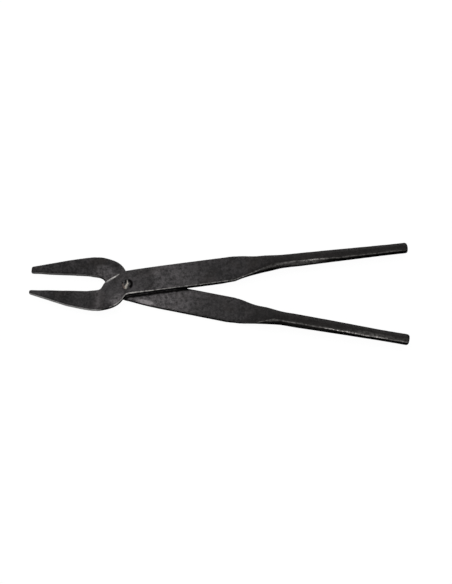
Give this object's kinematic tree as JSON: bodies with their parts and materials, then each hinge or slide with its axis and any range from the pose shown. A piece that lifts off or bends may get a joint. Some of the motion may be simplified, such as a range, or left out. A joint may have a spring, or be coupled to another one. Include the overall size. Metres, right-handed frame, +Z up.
{
  "type": "crucible tongs",
  "caption": "Hand-forged lever tongs with tapered flat jaws, broad crossing blades on a rivet and round handles, for lifting hot crucibles.",
  "frame": {"origin": "where the rivet's axis meets the plane the tongs lie on, which is the underside of the lower half's blade", "axes": "+X runs from the rivet towards the handles, midway between them; +Y towards the upper half's handle; +Z up, out of the rivet's domed head"},
  "size_m": [0.3969, 0.1144, 0.0156],
  "materials": {
    "lower_scale": "dark forge scale, satin, worn brighter along the edges",
    "upper_scale": "dark forge scale, satin, worn brighter along the edges",
    "rivet_steel": "hammered head, dark scale rubbed through to bare steel"
  },
  "bodies": {
    "lower_lever": {"lower_half": "lower_scale", "pivot_rivet": "rivet_steel"},
    "upper_lever": {"upper_half": "upper_scale"}
  },
  "joints": [
    {"name": "rivet_hinge", "type": "hinge", "parent": "lower_lever", "child": "upper_lever", "pos_m": [0, 0, 0.0055], "axis": [0, 0, 1], "range_deg": [-11, 90]}
  ]
}
